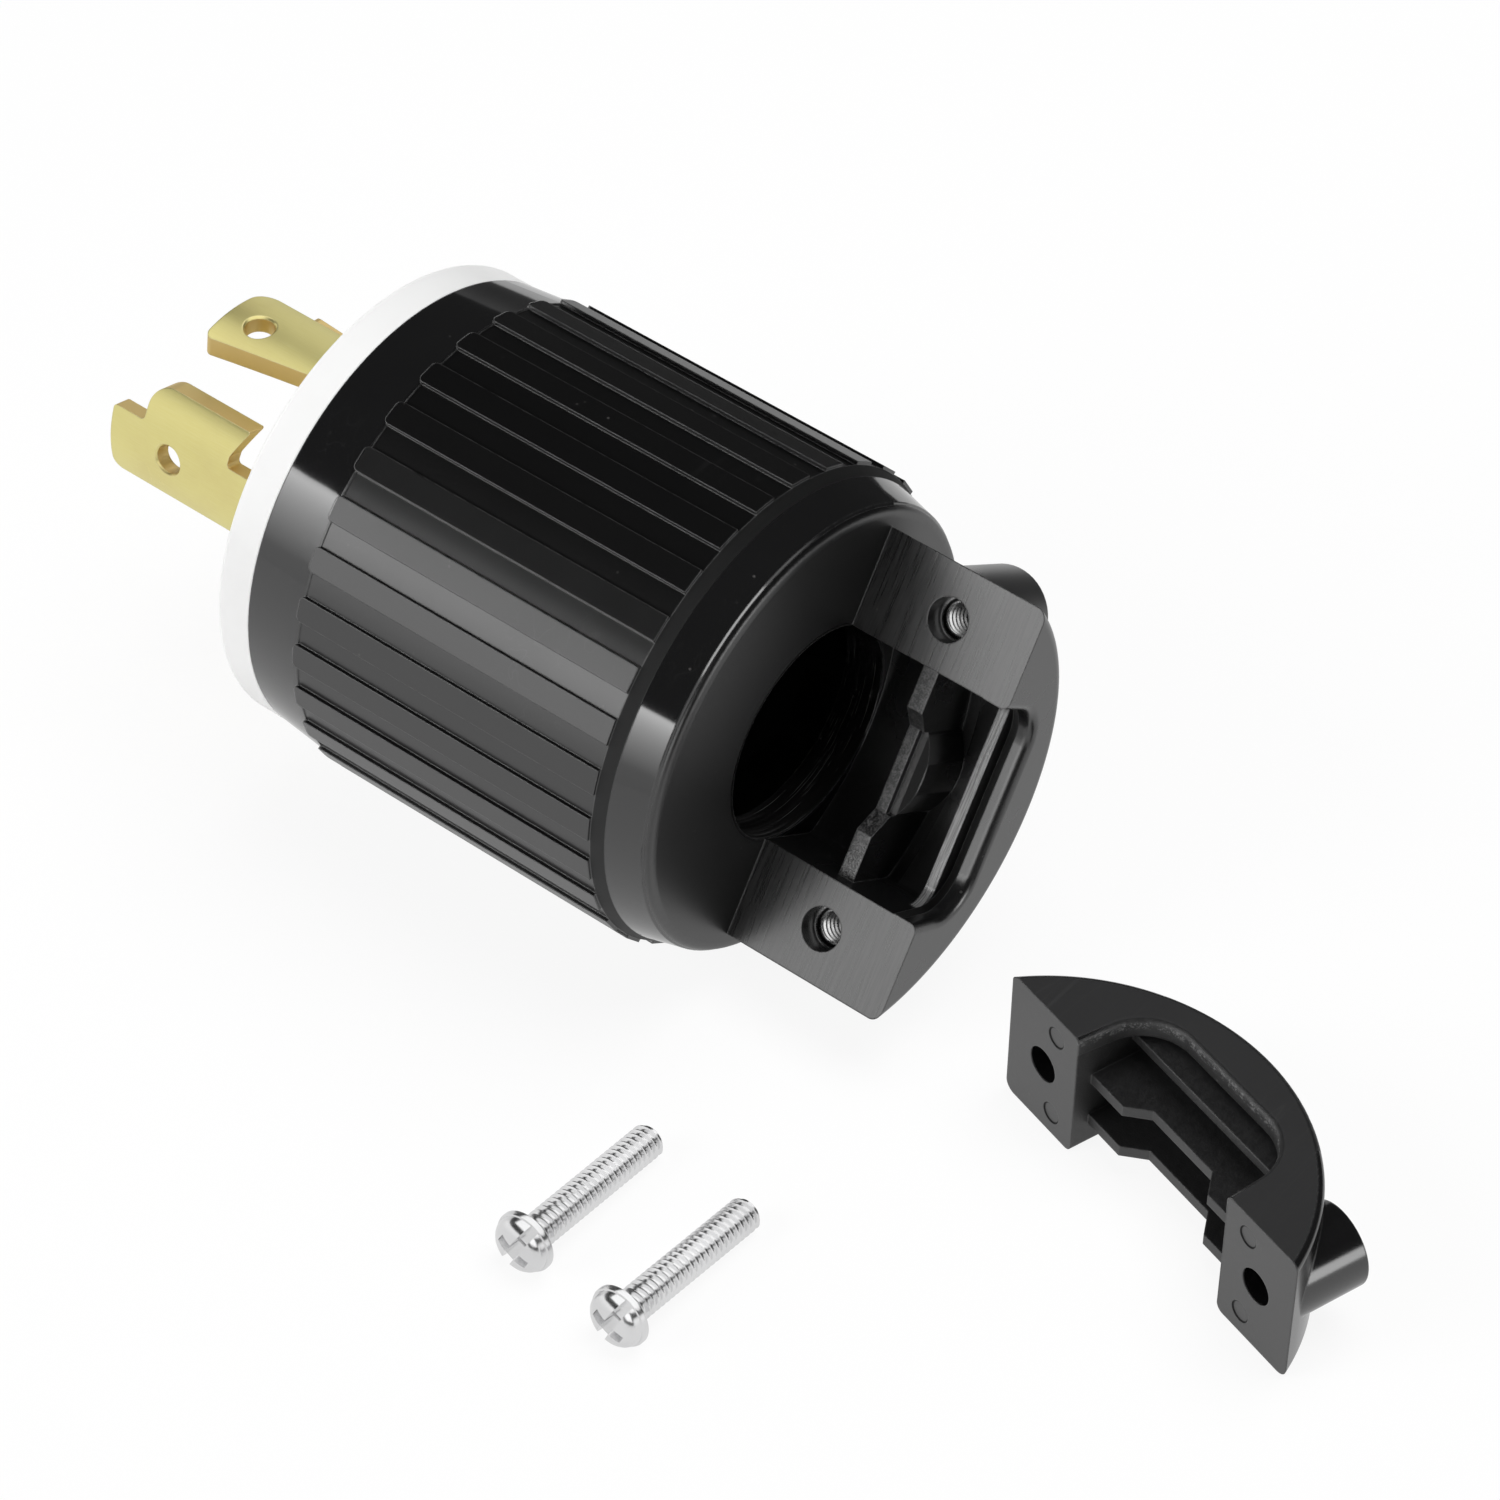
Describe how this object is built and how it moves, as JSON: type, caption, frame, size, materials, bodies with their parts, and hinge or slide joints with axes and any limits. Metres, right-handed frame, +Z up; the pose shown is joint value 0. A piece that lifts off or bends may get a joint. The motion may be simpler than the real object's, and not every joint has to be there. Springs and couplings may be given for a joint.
{
  "type": "locking power plug",
  "caption": "Round locking power plug with curved blades, a ribbed black shell and a split cord clamp shown open, its loose half and screws beside it.",
  "frame": {"origin": "on the floor, under the middle of the plug, the loose clamp half and the screws together", "axes": "+X along the plug's axis from the blades to the rear, +Z up; the plug lies on its side and the loose clamp half stands on its front end"},
  "size_m": [0.1694, 0.0896, 0.0575],
  "materials": {
    "black_plastic": "moulded black, satin to gloss",
    "white_plastic": "moulded white, satin",
    "blade_brass": "stamped, bright",
    "screw_zinc": "bright plated",
    "screw_steel": "plated",
    "plate_steel": "plated",
    "insert_steel": "turned and tapped",
    "carrier_plastic": "moulded, matt"
  },
  "bodies": {
    "root": {"assembly_screw_1": "screw_steel", "assembly_screw_2": "screw_steel", "blade_ground": "blade_brass", "blade_neutral": "blade_brass", "blade_x": "blade_brass", "blade_y": "blade_brass", "clamp_screw_1": "screw_zinc", "clamp_screw_2": "screw_zinc", "cord_clamp": "black_plastic", "front_body": "white_plastic", "housing": "black_plastic", "pressure_plate_ground": "plate_steel", "pressure_plate_neutral": "plate_steel", "pressure_plate_x": "plate_steel", "pressure_plate_y": "plate_steel", "terminal_carrier": "carrier_plastic", "terminal_screw_ground": "screw_steel", "terminal_screw_neutral": "screw_steel", "terminal_screw_x": "screw_steel", "terminal_screw_y": "screw_steel", "threaded_insert_lower": "insert_steel", "threaded_insert_upper": "insert_steel"}
  },
  "joints": []
}
